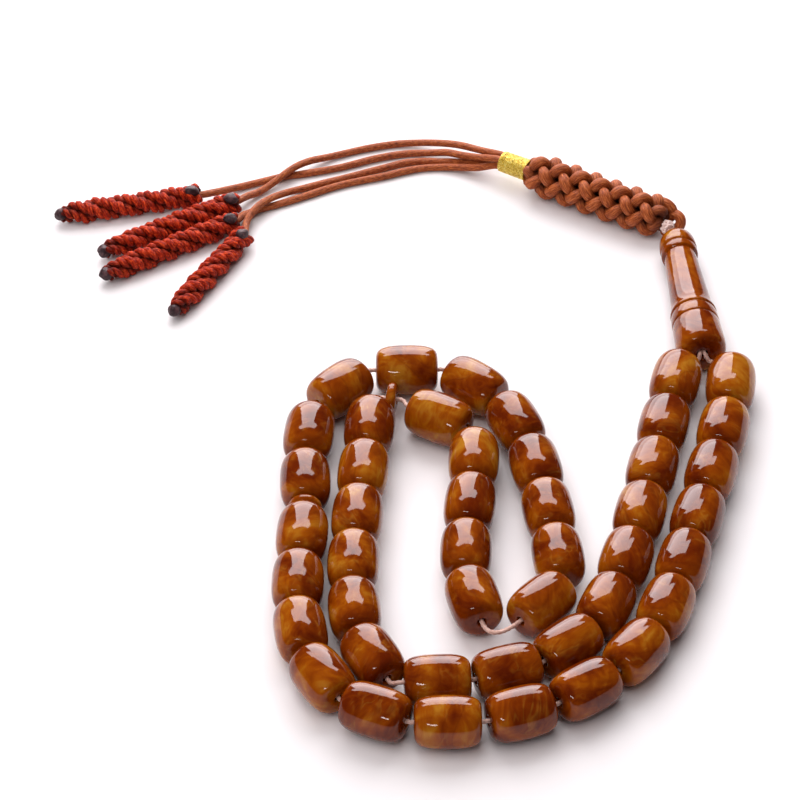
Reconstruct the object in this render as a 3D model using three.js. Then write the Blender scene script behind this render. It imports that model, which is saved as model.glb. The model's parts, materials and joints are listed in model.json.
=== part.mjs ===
// A misbaha: a loop of barrel beads on a twisted string, lying on a table. The string's two ends run
// through the imam, the long leader bead, into a knot that holds a thick braid. The braid ends in a
// gold thread whipping, and four tassel cords leave it, each with a knotted sleeve at its far end.
// Millimetres. +Z is up, the table is Z = 0, and +Y runs from the loop towards the tassel.
import * as THREE from "three";

// ---- Driving dimensions ----
const FRAME_SHIFT = new THREE.Vector3(-0.07, 0.69, 0); // puts the origin under the middle of the footprint
const BEAD_COUNT = 45;
const SECTION_COUNT = 15; // beads between two dividers
const BEAD = { length: 14.5, radius: 5.75, band: 9.8, shoulder: 4.1, dome: 0.8, bore: 1.1 };
const DIVIDER = { length: 2.4, radius: 3.8, band: 1.1, shoulder: 3.2, dome: 0.2, bore: 1.1 };
const GAP = 0.25; // clear space between two pieces that would touch
const CORD_GAP = 0.7; // clear space past the end of a string or cord
const ROUND_SIDES = 12;

const STRING_RADIUS = 0.55;
const CORD_RADIUS = 0.9;
const CORD_SIDES = 8;
const SHARP_BEND = THREE.MathUtils.degToRad(18);

const IMAM_BASE = new THREE.Vector3(43.1, 23.0, 6.02);
const IMAM_TIP = new THREE.Vector3(39.1, 68.6, 4.5);
const IMAM_BORE = 1.5;
const IMAM_SIDES = 16;
const STRAND_OFFSET = 0.62; // the two strands lie side by side in the imam's bore
const TURN_BELOW_IMAM = 0.95; // where each strand turns aside between the imam and its first bead
const TURN_ASIDE = 1.6;
const BEAD_LEAD = 1.1;

const KNOT_CENTRE = new THREE.Vector3(37.4, 71.7, 4.5);
const KNOT_RADIUS = 1.4;

const BRAID_START = new THREE.Vector3(36.6, 74.8, 5.2);
const BRAID_END = new THREE.Vector3(4.9, 92.7, 5.2);
const BRAID_RADIUS = 5.1;
const BRAID_WAIST = 4.6;
const BRAID_ENDS = 3.4;
const BRAID_ROUNDS = 7;
const STEM_RADIUS = 2.0;

const WHIPPING = { length: 7.8, radius: 2.65, bore: 2.25 };
const WHIPPING_SIDES = 16;

const BUNDLE_HALF = 1.0;
const SLEEVE = { mouth: 2.1, radius: 2.75, shoulder: 1.6, tip: 2.2, end: 1.6 };
const SLEEVE_BASE_HEIGHT = 2.95;
const SLEEVE_TIP_HEIGHT = 2.6;

// ---- Colours and surfaces ----
const RESIN = { color: 0xa5561a, roughness: 0.12, metalness: 0 };
const THREAD = { color: 0xc88c78, roughness: 0.7, metalness: 0 };
const PALE_THREAD = { color: 0xe1beaf, roughness: 0.7, metalness: 0 };
const BROWN_CORD = { color: 0xaf5f3c, roughness: 0.55, metalness: 0 };
const GOLD_THREAD = { color: 0xd7be46, roughness: 0.35, metalness: 0.8 };
const RUST_CORD = { color: 0xb93214, roughness: 0.75, metalness: 0 };

// ---- Routes, seen from above ----
// The string, from the imam's base round the loop and back to it.
const STRING_ROUTE = [
  [38.0, 20.8],
  [20.4, -53.0],
  [14.6, -66.9],
  [3.3, -77.0],
  [-11.8, -82.2],
  [-27.0, -82.8],
  [-30.2, -81.6],
  [-36.4, -67.9],
  [-37.3, -47.0],
  [-34.6, -9.5],
  [-33.1, 5.3],
  [-31.6, 7.4],
  [-29.4, 8.1],
  [-27.2, 7.4],
  [-24.7, 4.9],
  [-12.0, -2.2],
  [-10.2, -5.4],
  [-12.8, -50.0],
  [-9.6, -64.4],
  [-6.4, -67.2],
  [-2.9, -65.6],
  [8.3, -57.1],
  [8.5, -53.5],
  [2.4, -9.4],
  [-3.6, 6.2],
  [-16.7, 17.5],
  [-33.9, 17.3],
  [-46.2, 4.8],
  [-48.1, -30.0],
  [-49.4, -60.0],
  [-47.3, -74.8],
  [-39.2, -88.3],
  [-24.6, -94.6],
  [-8.8, -94.3],
  [6.2, -89.2],
  [19.2, -79.6],
  [28.0, -67.1],
  [37.0, -38.7],
  [48.2, 6.0],
  [50.0, 21.0],
];
// Bare string after a piece, beyond what the bend there needs.
const SPARE_STRING = {
  bead_01: 0.9,
  bead_03: 0.4,
  bead_04: 0.4,
  bead_05: 0.3,
  bead_06: 0.2,
  bead_07: 0.3,
  bead_08: 0.2,
  bead_16: 0.7,
  bead_18: 0.3,
  bead_20: 1.4,
  bead_24: 0.2,
  bead_25: 0.9,
  bead_26: 1.3,
  bead_27: 1.4,
  bead_28: 1.8,
  bead_29: 0.9,
  bead_31: 0.3,
  bead_35: 0.6,
  bead_36: 0.7,
  bead_37: 0.7,
  bead_38: 0.8,
  bead_39: 0.3,
  bead_42: 0.5,
  bead_44: 0.8,
};
// All the bare string after a piece, where the string doubles back round the first divider.
const HAIRPIN_STRING = {
  bead_15: 4.4,
  divider_1: 4.4,
};
const SLIDING_BEAD = "bead_20"; // it and the next bead can slide along the bare string between them
const STRAIGHT_EXIT = 1.6; // string left straight at a bead that can slide along the spare string

// The four tassel cords, from the whipping to their sleeves: x, y and the height of the centreline.
const CORD_ROUTES = [
  [
    [-7.3, 98.3, 4.9],
    [-11.7, 100.9, 3.6],
    [-15.4, 103.1, 2.7],
    [-19.1, 104.4, 1.6],
    [-24.3, 105.0, 0.95],
    [-29.2, 104.1, 0.95],
    [-34.2, 102.5, 0.95],
    [-38.0, 100.9, 0.95],
    [-41.8, 99.4, 0.95],
    [-46.7, 97.9, 0.95],
    [-51.5, 96.7, 0.95],
    [-55.3, 95.9, 0.95],
    [-61.2, 93.7, 0.95],
    [-66.3, 91.5, 1.1],
    [-70.6, 89.2, 1.7],
  ],
  [
    [-6.6, 100.4, 5.4],
    [-11.7, 104.4, 3.9],
    [-15.3, 106.6, 2.8],
    [-19.1, 108.1, 1.9],
    [-23.0, 108.8, 1.3],
    [-28.5, 108.7, 0.95],
    [-34.2, 107.3, 0.95],
    [-39.8, 105.4, 0.95],
    [-45.0, 103.0, 1.3],
    [-49.4, 100.2, 2.3],
    [-52.4, 97.4, 2.95],
    [-55.0, 94.9, 2.8],
    [-58.2, 92.2, 1.7],
    [-61.6, 89.3, 1.2],
    [-64.2, 86.9, 1.9],
  ],
  [
    [-7.8, 96.9, 2.9],
    [-12.4, 98.6, 1.6],
    [-17.0, 99.4, 1.0],
    [-21.4, 99.1, 0.95],
    [-26.0, 97.8, 0.95],
    [-31.0, 95.9, 0.95],
    [-36.4, 94.2, 0.95],
    [-40.8, 92.7, 0.95],
    [-45.0, 90.8, 0.95],
    [-49.4, 88.5, 0.95],
    [-53.9, 86.2, 0.95],
    [-58.0, 84.3, 0.95],
    [-61.6, 82.8, 0.95],
    [-63.6, 81.4, 1.1],
    [-65.2, 79.2, 2.0],
  ],
  [
    [-7.6, 99.0, 2.6],
    [-12.4, 101.1, 1.3],
    [-17.0, 101.7, 0.95],
    [-21.6, 101.8, 0.95],
    [-26.4, 101.0, 0.95],
    [-31.4, 99.0, 0.95],
    [-35.8, 97.2, 0.95],
    [-40.6, 95.2, 0.95],
    [-46.0, 93.0, 0.95],
    [-51.0, 90.8, 1.1],
    [-55.2, 88.0, 1.9],
    [-58.6, 84.8, 2.8],
    [-61.4, 81.7, 3.0],
    [-63.4, 78.6, 2.6],
    [-64.3, 75.2, 2.4],
  ],
];
const SLEEVE_BASES = [
  [-75.8, 86.0],
  [-66.7, 83.6],
  [-66.7, 75.9],
  [-64.5, 70.4],
];
const SLEEVE_TIPS = [
  [-109.8, 78.8],
  [-98.5, 64.6],
  [-97.6, 56.0],
  [-80.5, 42.4],
];

// ---- Shapes ----

// A polyline that a section can follow: sample i lies exactly on corner i.
class Corners extends THREE.Curve {
  constructor(points) {
    super();
    this.points = points;
  }

  getPoint(t, target = new THREE.Vector3()) {
    const along = t * (this.points.length - 1);
    const i = Math.min(Math.floor(along + 1e-9), this.points.length - 2);
    return target.lerpVectors(this.points[i], this.points[i + 1], along - i);
  }

  getPointAt(u, target) {
    return this.getPoint(u, target);
  }

  getTangentAt(u, target = new THREE.Vector3()) {
    const i = Math.round(u * (this.points.length - 1));
    const before = this.points[Math.max(i - 1, 0)];
    const after = this.points[Math.min(i + 1, this.points.length - 1)];
    return target.subVectors(after, before).normalize();
  }
}

function tube(points, radius, sides) {
  const section = new THREE.Shape();
  for (let i = 0; i < sides; i += 1) {
    const angle = (2 * Math.PI * i) / sides;
    const x = radius * Math.cos(angle);
    const y = radius * Math.sin(angle);
    if (i === 0) section.moveTo(x, y);
    else section.lineTo(x, y);
  }
  section.closePath();
  const path = new Corners(points);
  return new THREE.ExtrudeGeometry(section, {
    steps: points.length - 1,
    extrudePath: path,
    curveSegments: 1,
  });
}

// A turned piece: [radius, place along the axis] pairs, its facets at the stated radii, one facing down.
function turned(profile, sides) {
  const grow = 1 / Math.cos(Math.PI / sides);
  const points = profile.map(([radius, along]) => new THREE.Vector2(radius * grow, along));
  return new THREE.LatheGeometry(points, sides, Math.PI / sides);
}

function barrel({ length, radius, band, shoulder, dome, bore }) {
  const end = length / 2;
  const edge = band / 2;
  const profile = [
    [bore, -end],
    [shoulder, dome - end],
    [radius, -edge],
    [radius, edge],
    [shoulder, end - dome],
    [bore, end],
    [bore, -end],
  ];
  return turned(profile, ROUND_SIDES);
}

function imamShape(length) {
  const profile = [
    [IMAM_BORE, 0],
    [4.9, 0],
    [5.7, 1.2],
    [5.8, 6.0],
    [5.6, 10.0],
    [5.25, 10.3],
    [5.6, 10.7],
    [5.45, 13.6],
    [5.1, 14.0],
    [5.3, 14.4],
    [4.85, 21.0],
    [4.45, 30.0],
    [4.15, 36.4],
    [3.9, 36.8],
    [4.35, 37.2],
    [4.4, 38.8],
    [4.15, 39.2],
    [4.4, 39.6],
    [4.3, 42.0],
    [3.3, 44.6],
    [IMAM_BORE, length],
    [IMAM_BORE, 0],
  ];
  return turned(profile, IMAM_SIDES);
}

function braidShape(length, stem) {
  const round = length / BRAID_ROUNDS;
  const profile = [
    [0, 0],
    [BRAID_ENDS, 0],
  ];
  for (let i = 0; i < BRAID_ROUNDS; i += 1) {
    profile.push([BRAID_RADIUS, (i + 0.5) * round]);
    if (i < BRAID_ROUNDS - 1) profile.push([BRAID_WAIST, (i + 1) * round]);
  }
  profile.push([BRAID_ENDS, length], [STEM_RADIUS, length]);
  profile.push([STEM_RADIUS, length + stem], [0, length + stem]);
  return turned(profile, ROUND_SIDES);
}

function ringShape({ length, radius, bore }) {
  const profile = [
    [bore, 0],
    [radius, 0],
    [radius, length],
    [bore, length],
    [bore, 0],
  ];
  return turned(profile, WHIPPING_SIDES);
}

function sleeveShape(length) {
  const profile = [
    [0, 0],
    [SLEEVE.mouth, 0],
    [SLEEVE.radius, SLEEVE.shoulder],
    [SLEEVE.radius, length / 2],
    [SLEEVE.tip, length - SLEEVE.shoulder],
    [SLEEVE.end, length],
    [0, length],
  ];
  return turned(profile, ROUND_SIDES);
}

// ---- Placing pieces ----
const prayerBeads = new THREE.Group();
prayerBeads.position.copy(FRAME_SHIFT);

function add(name, geometry, look) {
  const mesh = new THREE.Mesh(geometry, new THREE.MeshStandardMaterial(look));
  mesh.name = name;
  prayerBeads.add(mesh);
  return mesh;
}

// Lays a turned piece's own Y axis along a nearly level direction, with its Z axis as near up as it goes.
function aim(mesh, place, direction) {
  const up = new THREE.Vector3(0, 0, 1);
  const side = new THREE.Vector3().crossVectors(direction, up).normalize();
  const upright = new THREE.Vector3().crossVectors(side, direction);
  mesh.setRotationFromMatrix(new THREE.Matrix4().makeBasis(side, direction, upright));
  mesh.position.copy(place);
}

function between(from, to) {
  return new THREE.Vector3().subVectors(to, from).normalize();
}

// Where the curve is next at this straight distance from a point on it.
function reach(curve, from, t, distance) {
  const step = 0.0005;
  let far = t;
  while (far < 1 && curve.getPoint(far).distanceTo(from) < distance) far += step;
  let near = Math.max(far - step, t);
  for (let i = 0; i < 20; i += 1) {
    const middle = (near + far) / 2;
    if (curve.getPoint(middle).distanceTo(from) < distance) near = middle;
    else far = middle;
  }
  return far;
}

// The beads and dividers in order, each with its two ends on the string's route.
function threadPieces() {
  const route = STRING_ROUTE.map(([x, y]) => new THREE.Vector3(x, y, BEAD.radius));
  const curve = new THREE.CatmullRomCurve3(route, false, "centripetal");
  const pieces = [];
  for (let bead = 1; bead <= BEAD_COUNT; bead += 1) {
    pieces.push({ name: `bead_${String(bead).padStart(2, "0")}`, size: BEAD });
    if (bead % SECTION_COUNT === 0 && bead < BEAD_COUNT) {
      pieces.push({ name: `divider_${bead / SECTION_COUNT}`, size: DIVIDER });
    }
  }
  let before = null;
  for (const piece of pieces) {
    place(piece, before, curve);
    before = piece;
  }
  return pieces;
}

// The string left bare between two pieces so that neither their bores' rims nor their shoulders touch.
function bareString(a, b, bend) {
  const tilt = Math.sin(bend / 2);
  const rims = (a.bore + b.bore) * tilt;
  const shoulders = (a.shoulder + b.shoulder) * tilt - (a.dome + b.dome) * Math.cos(bend / 2);
  return GAP + Math.max(rims, shoulders);
}

function place(piece, before, curve) {
  let gap = GAP;
  for (let i = 0; i < 5; i += 1) {
    const t = before ? reach(curve, before.end, before.t, gap) : 0;
    piece.start = curve.getPoint(t);
    piece.t = reach(curve, piece.start, t, piece.size.length);
    piece.end = curve.getPoint(piece.t);
    piece.axis = between(piece.start, piece.end);
    if (!before) return;
    piece.bend = before.axis.angleTo(piece.axis);
    const needed = bareString(before.size, piece.size, piece.bend);
    gap = HAIRPIN_STRING[before.name] ?? needed + (SPARE_STRING[before.name] ?? 0);
  }
}

function addThreaded(pieces) {
  for (const piece of pieces) {
    const mesh = add(piece.name, barrel(piece.size), RESIN);
    const centre = new THREE.Vector3().addVectors(piece.start, piece.end).divideScalar(2);
    aim(mesh, centre, piece.axis);
  }
}

// The string's corners from the knot down the imam, round the loop, and back up the imam to the knot.
function stringCorners(pieces) {
  const up = between(IMAM_BASE, IMAM_TIP);
  const side = new THREE.Vector3(up.y, -up.x, 0).normalize();
  const toKnot = between(IMAM_TIP, KNOT_CENTRE);
  const strand = (sign) => {
    const offset = side.clone().multiplyScalar(sign * STRAND_OFFSET);
    const knot = KNOT_CENTRE.clone().addScaledVector(toKnot, -KNOT_RADIUS - CORD_GAP).add(offset);
    const tip = IMAM_TIP.clone().add(offset);
    const mouth = IMAM_BASE.clone().add(offset);
    const turn = IMAM_BASE.clone()
      .addScaledVector(up, -TURN_BELOW_IMAM)
      .addScaledVector(side, sign * TURN_ASIDE);
    return [knot, tip, mouth, turn];
  };
  const first = pieces[0];
  const last = pieces[pieces.length - 1];
  const corners = strand(-1);
  corners.push(first.start.clone().addScaledVector(first.axis, -BEAD_LEAD), first.start);
  pieces.slice(1).forEach((piece, i) => {
    const before = pieces[i];
    if (before.name === SLIDING_BEAD) {
      const leave = before.end.clone().addScaledVector(before.axis, STRAIGHT_EXIT);
      const enter = piece.start.clone().addScaledVector(piece.axis, -STRAIGHT_EXIT);
      corners.push(before.end, leave, enter, piece.start);
    } else if (piece.bend > SHARP_BEND) {
      corners.push(before.end, piece.start);
    } else {
      corners.push(before.end.clone().add(piece.start).divideScalar(2));
    }
  });
  corners.push(last.end, last.end.clone().addScaledVector(last.axis, BEAD_LEAD));
  corners.push(...strand(1).reverse());
  return corners;
}

// The cords leave the whipping as a square bundle.
function cordStarts(pivot, direction) {
  const side = new THREE.Vector3(direction.y, -direction.x, 0).normalize();
  const corners = [
    [-1, 1],
    [1, 1],
    [-1, -1],
    [1, -1],
  ];
  return corners.map(([across, rise]) =>
    pivot
      .clone()
      .addScaledVector(side, across * BUNDLE_HALF)
      .add(new THREE.Vector3(0, 0, rise * BUNDLE_HALF))
      .addScaledVector(direction, CORD_GAP),
  );
}

function addTassel(pivot, direction) {
  const starts = cordStarts(pivot, direction);
  CORD_ROUTES.forEach((route, i) => {
    const base = new THREE.Vector3(...SLEEVE_BASES[i], SLEEVE_BASE_HEIGHT);
    const tip = new THREE.Vector3(...SLEEVE_TIPS[i], SLEEVE_TIP_HEIGHT);
    const along = between(base, tip);
    const end = base.clone().addScaledVector(along, -CORD_GAP);
    const points = route.map(([x, y, z]) => new THREE.Vector3(x, y, z));
    const cord = tube([starts[i], ...points, end], CORD_RADIUS, CORD_SIDES);
    add(`tassel_cord_${i + 1}`, cord, BROWN_CORD);
    const sleeve = add(`tassel_sleeve_${i + 1}`, sleeveShape(base.distanceTo(tip)), RUST_CORD);
    aim(sleeve, base, along);
  });
}

const pieces = threadPieces();
addThreaded(pieces);
add("string", tube(stringCorners(pieces), STRING_RADIUS, CORD_SIDES), THREAD);

const imam = add("imam", imamShape(IMAM_BASE.distanceTo(IMAM_TIP)), RESIN);
aim(imam, IMAM_BASE, between(IMAM_BASE, IMAM_TIP));

const knot = add("string_knot", new THREE.IcosahedronGeometry(KNOT_RADIUS, 1), PALE_THREAD);
knot.position.copy(KNOT_CENTRE);

const braidAxis = between(BRAID_START, BRAID_END);
const stemLength = WHIPPING.length + 3 * GAP;
const braid = add("braid", braidShape(BRAID_START.distanceTo(BRAID_END), stemLength), BROWN_CORD);
aim(braid, BRAID_START, braidAxis);

const whipping = add("gold_whipping", ringShape(WHIPPING), GOLD_THREAD);
aim(whipping, BRAID_END.clone().addScaledVector(braidAxis, GAP), braidAxis);

addTassel(BRAID_END.clone().addScaledVector(braidAxis, stemLength), braidAxis);

export default prayerBeads;
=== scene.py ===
import json
import math
from collections import namedtuple

import bpy
import numpy as np
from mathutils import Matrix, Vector


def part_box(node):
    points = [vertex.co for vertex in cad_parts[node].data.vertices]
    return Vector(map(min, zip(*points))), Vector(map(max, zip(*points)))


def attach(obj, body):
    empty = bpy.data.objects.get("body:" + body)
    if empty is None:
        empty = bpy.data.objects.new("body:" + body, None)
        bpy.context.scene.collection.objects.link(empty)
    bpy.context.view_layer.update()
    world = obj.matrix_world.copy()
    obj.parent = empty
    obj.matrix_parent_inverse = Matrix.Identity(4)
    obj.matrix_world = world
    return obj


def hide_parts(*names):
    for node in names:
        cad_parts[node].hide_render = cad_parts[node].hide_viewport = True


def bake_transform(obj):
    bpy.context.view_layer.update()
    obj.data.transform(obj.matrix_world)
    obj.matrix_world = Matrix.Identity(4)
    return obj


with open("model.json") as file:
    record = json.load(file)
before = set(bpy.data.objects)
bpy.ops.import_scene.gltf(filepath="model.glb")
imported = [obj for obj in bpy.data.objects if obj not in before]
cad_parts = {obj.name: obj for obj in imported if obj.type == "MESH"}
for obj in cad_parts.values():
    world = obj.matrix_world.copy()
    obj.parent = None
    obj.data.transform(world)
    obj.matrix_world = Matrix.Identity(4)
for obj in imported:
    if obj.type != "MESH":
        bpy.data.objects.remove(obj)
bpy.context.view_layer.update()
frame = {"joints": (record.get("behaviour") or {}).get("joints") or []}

MM = 0.001
RNG = np.random.default_rng(45)
UP = np.array([0.0, 0.0, 1.0])
ORIGIN = (0.0, 0.0, 0.0)

# ---- Camera, lights and room, in metres ----
CAMERA_PLACE = (-0.02707, -0.67731, 0.6121)
CAMERA_ELEVATION = 41.5  # degrees above the table
CAMERA_LENS = 180.0
SENSOR_WIDTH = 36.0
CLIP_NEAR = 0.01
CLIP_FAR = 20.0
FLOOR_HALF = 6.0
# The bright panels stand close behind the strand, left of its middle, and show only as reflections.
PANEL_X = -0.05
PANEL_Y = 0.27
# Each panel: name, height of its middle, width, height, radiance.
PANELS = (
    ("high_panel", 0.390, 0.486, 0.168, 8.4),
    ("tall_panel", 0.2025, 0.258, 0.207, 8.6),
    ("low_panel", 0.054, 0.240, 0.090, 4.8),
)
# Two small lamps in front make the sparkles low on the beads.
SPARKLE_AZIMUTHS = (192.0, 203.0)
SPARKLE_ELEVATION = 30.0
SPARKLE_DISTANCE = 1.2
SPARKLE_SIZE = (0.17, 0.10)
SPARKLE_RADIANCE = 20.0
KEY_PLACE = (0.0, 0.9, 0.85)
KEY_SIZE = (1.3, 1.3)
KEY_RADIANCE = 4.4
FILL_PLACE = (-0.7, -0.4, 1.4)
FILL_SIZE = (2.2, 2.2)
FILL_RADIANCE = 2.0
WHITE = (1.0, 0.97, 0.985)
WARM = (1.0, 0.935, 0.935)
ROOM_COLOR = (1.0, 0.96, 1.0, 1.0)
ROOM_STRENGTH = 0.04

# ---- Colours, as linear values. A ramp gives (place on the ramp, colour). ----
RESIN_RAMP = [
    (0.30, (0.110, 0.012, 0.0004)),
    (0.42, (0.178, 0.028, 0.0006)),
    (0.52, (0.230, 0.043, 0.0010)),
    (0.61, (0.290, 0.069, 0.0016)),
    (0.74, (0.380, 0.145, 0.0095)),
]
RESIN_VEIN = (0.48, 0.24, 0.030)
RESIN_CRACK = (0.085, 0.011, 0.0006)
KNOT_LIGHT = (0.90, 0.76, 0.72)
KNOT_DARK = (0.58, 0.36, 0.31)
STRING_LIGHT = (0.82, 0.58, 0.50)
STRING_DARK = (0.46, 0.25, 0.19)
BROWN_RAMP = [(0.34, (0.120, 0.018, 0.003)), (0.5, (0.400, 0.082, 0.015)), (0.66, (0.700, 0.210, 0.055))]
BROWN_PATCH = (0.26, 0.046, 0.008)
# Painted shade for brown cord inside a plait:
BROWN_PAINTED_SHADE = (0.035, 0.006, 0.002)
RUST_RAMP = [(0.34, (0.090, 0.002, 0.0003)), (0.5, (0.42, 0.017, 0.002)), (0.66, (0.92, 0.105, 0.018))]
# Painted shade for rust cord inside a sleeve:
RUST_PAINTED_SHADE = (0.03, 0.0015, 0.0005)
MELTED_RAMP = [(0.3, (0.014, 0.006, 0.007)), (0.5, (0.042, 0.019, 0.023)), (0.7, (0.12, 0.052, 0.055))]
GOLD_RAMP = [(0.32, (0.38, 0.20, 0.008)), (0.5, (0.88, 0.62, 0.060)), (0.68, (1.0, 0.93, 0.36))]
FLOOR_RAMP = [(0.0, (0.835, 0.825, 0.835)), (1.0, (0.85, 0.84, 0.85))]

# ---- Sides of tubes, steps along their paths, and their domed ends ----
STRING_SIDES = 15
KNOT_SIDES = 12
KNOT_CORE_SIDES = 16
BRAID_SIDES = 16
STEM_SIDES = 14
WHIPPING_SIDES = 9
CORD_SIDES = 20
PLY_SIDES = 14
CORE_SIDES = 12
KNOT_SAMPLES = 420
BRAID_SAMPLES = 240
WHIPPING_SAMPLES = 40  # in each turn
PLY_SAMPLES = 420
BLOB_ROWS = 14
BLOB_SIDES = 24
SPLINE_STEPS = 24
STRING_STEP = 0.34
STRING_END_STEP = 0.3
BRAID_STEP = 0.42
STEM_STEP = 0.8
CORD_STEP = 0.6
SLEEVE_STEP = 0.3
CORE_STEP = 0.8
# The dome has two rings and a pole; its heights are shares of the tube's radius.
DOME_RINGS = (0.5, 0.82)
DOME_NARROWING = 0.6
DOME_HEIGHT = 0.55
POLE_HEIGHT = 0.62

# ---- Beads, dividers and imam ----
BEAD_COUNT = 45
SECTION_COUNT = 15  # beads between two dividers
BEAD_LENGTH = 14.5
DIVIDER_LENGTH = 2.4
BEAD_SIDES = 56
DIVIDER_SIDES = 40
IMAM_SIDES = 64
MATERIAL_SPREAD = 400.0  # a piece is moved up to this far, either way, through the resin's pattern
IMAM_TINT = 0.35
# Turned outlines: (place along the axis, radius). A half outline runs from the middle to the bore.
BEAD_HALF_OUTLINE = [
    (0.0, 5.74),
    (1.6, 5.72),
    (3.0, 5.64),
    (4.2, 5.49),
    (5.2, 5.24),
    (5.85, 4.98),
    (6.35, 4.66),
    (6.72, 4.28),
    (6.97, 3.8),
    (7.1, 3.2),
    (7.16, 2.4),
    (7.2, 1.5),
    (7.16, 1.16),
    (7.0, 1.05),
]
DIVIDER_HALF_OUTLINE = [
    (0.0, 3.8),
    (0.4, 3.76),
    (0.75, 3.6),
    (1.0, 3.25),
    (1.14, 2.8),
    (1.2, 2.2),
    (1.2, 1.4),
    (1.12, 1.12),
    (0.95, 1.05),
]
IMAM_LENGTH = 45.8
# From the base: barrel foot, two grooves, flared shaft, two grooves, domed tip, and back to the bore.
IMAM_OUTLINE = [
    (0.5, 1.2),
    (0.1, 1.35),
    (0.0, 2.0),
    (0.0, 4.0),
    (0.12, 4.7),
    (0.45, 5.2),
    (1.1, 5.6),
    (2.0, 5.8),
    (3.6, 5.87),
    (6.0, 5.78),
    (8.4, 5.7),
    (9.8, 5.64),
    (10.05, 5.58),
    (10.18, 5.36),
    (10.3, 5.3),
    (10.42, 5.36),
    (10.55, 5.58),
    (10.8, 5.62),
    (12.2, 5.56),
    (13.5, 5.48),
    (13.75, 5.4),
    (13.87, 5.16),
    (14.0, 5.1),
    (14.13, 5.16),
    (14.25, 5.48),
    (14.7, 5.48),
    (15.2, 5.34),
    (16.1, 5.08),
    (17.3, 4.9),
    (19.0, 4.76),
    (21.6, 4.6),
    (25.0, 4.42),
    (30.3, 4.16),
    (34.0, 3.98),
    (36.3, 3.9),
    (36.55, 3.86),
    (36.68, 3.76),
    (36.8, 3.74),
    (36.95, 3.9),
    (37.1, 4.28),
    (37.4, 4.37),
    (38.6, 4.4),
    (38.85, 4.36),
    (39.0, 4.22),
    (39.15, 4.16),
    (39.3, 4.24),
    (39.5, 4.42),
    (39.9, 4.47),
    (41.2, 4.42),
    (42.5, 4.2),
    (43.6, 3.8),
    (44.5, 3.24),
    (45.2, 2.6),
    (45.6, 2.1),
    (45.8, 1.75),
    (45.75, 1.5),
    (45.3, 1.45),
]

# ---- String and knot ----
STRING_RADIUS = 0.55
STRING_PLIES = 3
STRING_TWIST = 3.3  # length in which a ply winds once round
STRAND_OFFSET = 0.62  # the string's two ends lie side by side in the imam
BEAD_LEAD = 1.1  # straight string before the first bead and after the last
# Between beads the string leaves each bore straight, for these shares of a narrow or a wide gap.
WIDE_GAP = 2.5
NARROW_HANDLE = 0.42
WIDE_HANDLE = 0.62
# Where each end of the string turns under the imam: below its base, to the side, and down.
TURN_BELOW_IMAM = 0.95
TURN_ASIDE = 1.6
TURN_DROP = 1.4
KNOT_RADIUS = 1.75
KNOT_THREAD = 0.36
KNOT_CORE = 1.3
KNOT_CORE_HALF = 1.25
KNOT_WRAPS = 4
KNOT_CROSSINGS = 7
KNOT_SWING = 0.72

# ---- Braid and whipping ----
BRAID_LENGTH = 36.4
BRAID_RADIUS = 2.95
BRAID_WEAVE = 1.0  # how far a strand rises and falls where it crosses others
BRAID_STRAND = 1.26
BRAID_STRANDS = 8
BIGHT_STRAND = BRAID_STRAND * 1.02
OUTSIDE_TINT = 0.9  # cord that lies in the open, on a tint that runs from 0, in full painted shade inside a plait, to 1, with none
BRAID_LEAD = 22.4  # length in which a strand winds once round
BRAID_END_RADIUS = 0.9
BRAID_DEEP = 2.6  # distances from the axis at which the painted shade on the cords is darkest and ends
BRAID_OUTER = 4.6
FAR_END_BAND = 2.6  # the far end's cords lie in the open, over about this length, and get less painted shade there
FAR_END_TINT = 0.75
WHIPPING_LENGTH = 7.8
WHIPPING_TURNS = 16
WHIPPING_REACH = 2.46
WHIPPING_GAP = 0.25
BUNDLE_HALF = 1.0  # the four cords leave the whipping two by two, this far from its axis
STEM_LENGTH = 8.55
STEM_INTO_BRAID = 3.0
STEM_STOPS = 2.6  # this far before the whipping's exit, where the tassel's cords take over
# The two bights of cord that hold the knot, measured from the knot's middle.
OUTER_BIGHT = [
    (-0.6, 4.6, -0.4),
    (0.8, 4.3, 0.5),
    (2.3, 3.6, 0.9),
    (3.3, 2.5, 0.5),
    (3.2, 1.7, -0.9),
    (1.8, 1.6, -2.2),
    (-0.6, 2.2, -2.9),
]
INNER_BIGHT = [
    (-4.6, 6.0, 1.4),
    (-2.6, 6.2, 2.6),
    (-0.6, 5.6, 3.0),
    (1.0, 4.8, 2.2),
    (1.5, 4.3, 0.9),
    (0.9, 4.2, -0.4),
    (-0.8, 4.4, -1.4),
]

# ---- Cords and sleeves ----
CORD_RADIUS = 0.9
CORD_FIT = 0.98  # the drawn cord's radius against the CAD cord's
CORD_INTO_WHIPPING = 2.5
CORD_INTO_SLEEVE = 1.5
SLEEVE_BARS = 3
SLEEVE_LEAD = 18.0  # length in which a bar winds once round
SLEEVE_REACH = 1.5
SLEEVE_CORE = 1.15
PLY_OFFSET = 0.68
PLY_RADIUS = 0.88
PLY_LEAD = 4.2
SLEEVE_DEEP = 1.5  # distances from the axis at which the painted shade on the cords is darkest and ends
SLEEVE_OUTER = 2.75
TIP_RADII = (1.5, 1.65, 1.55)
SEAL_RADII = (1.8, 1.5, 1.3)
TABLE_CLEARANCE = 0.03
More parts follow.
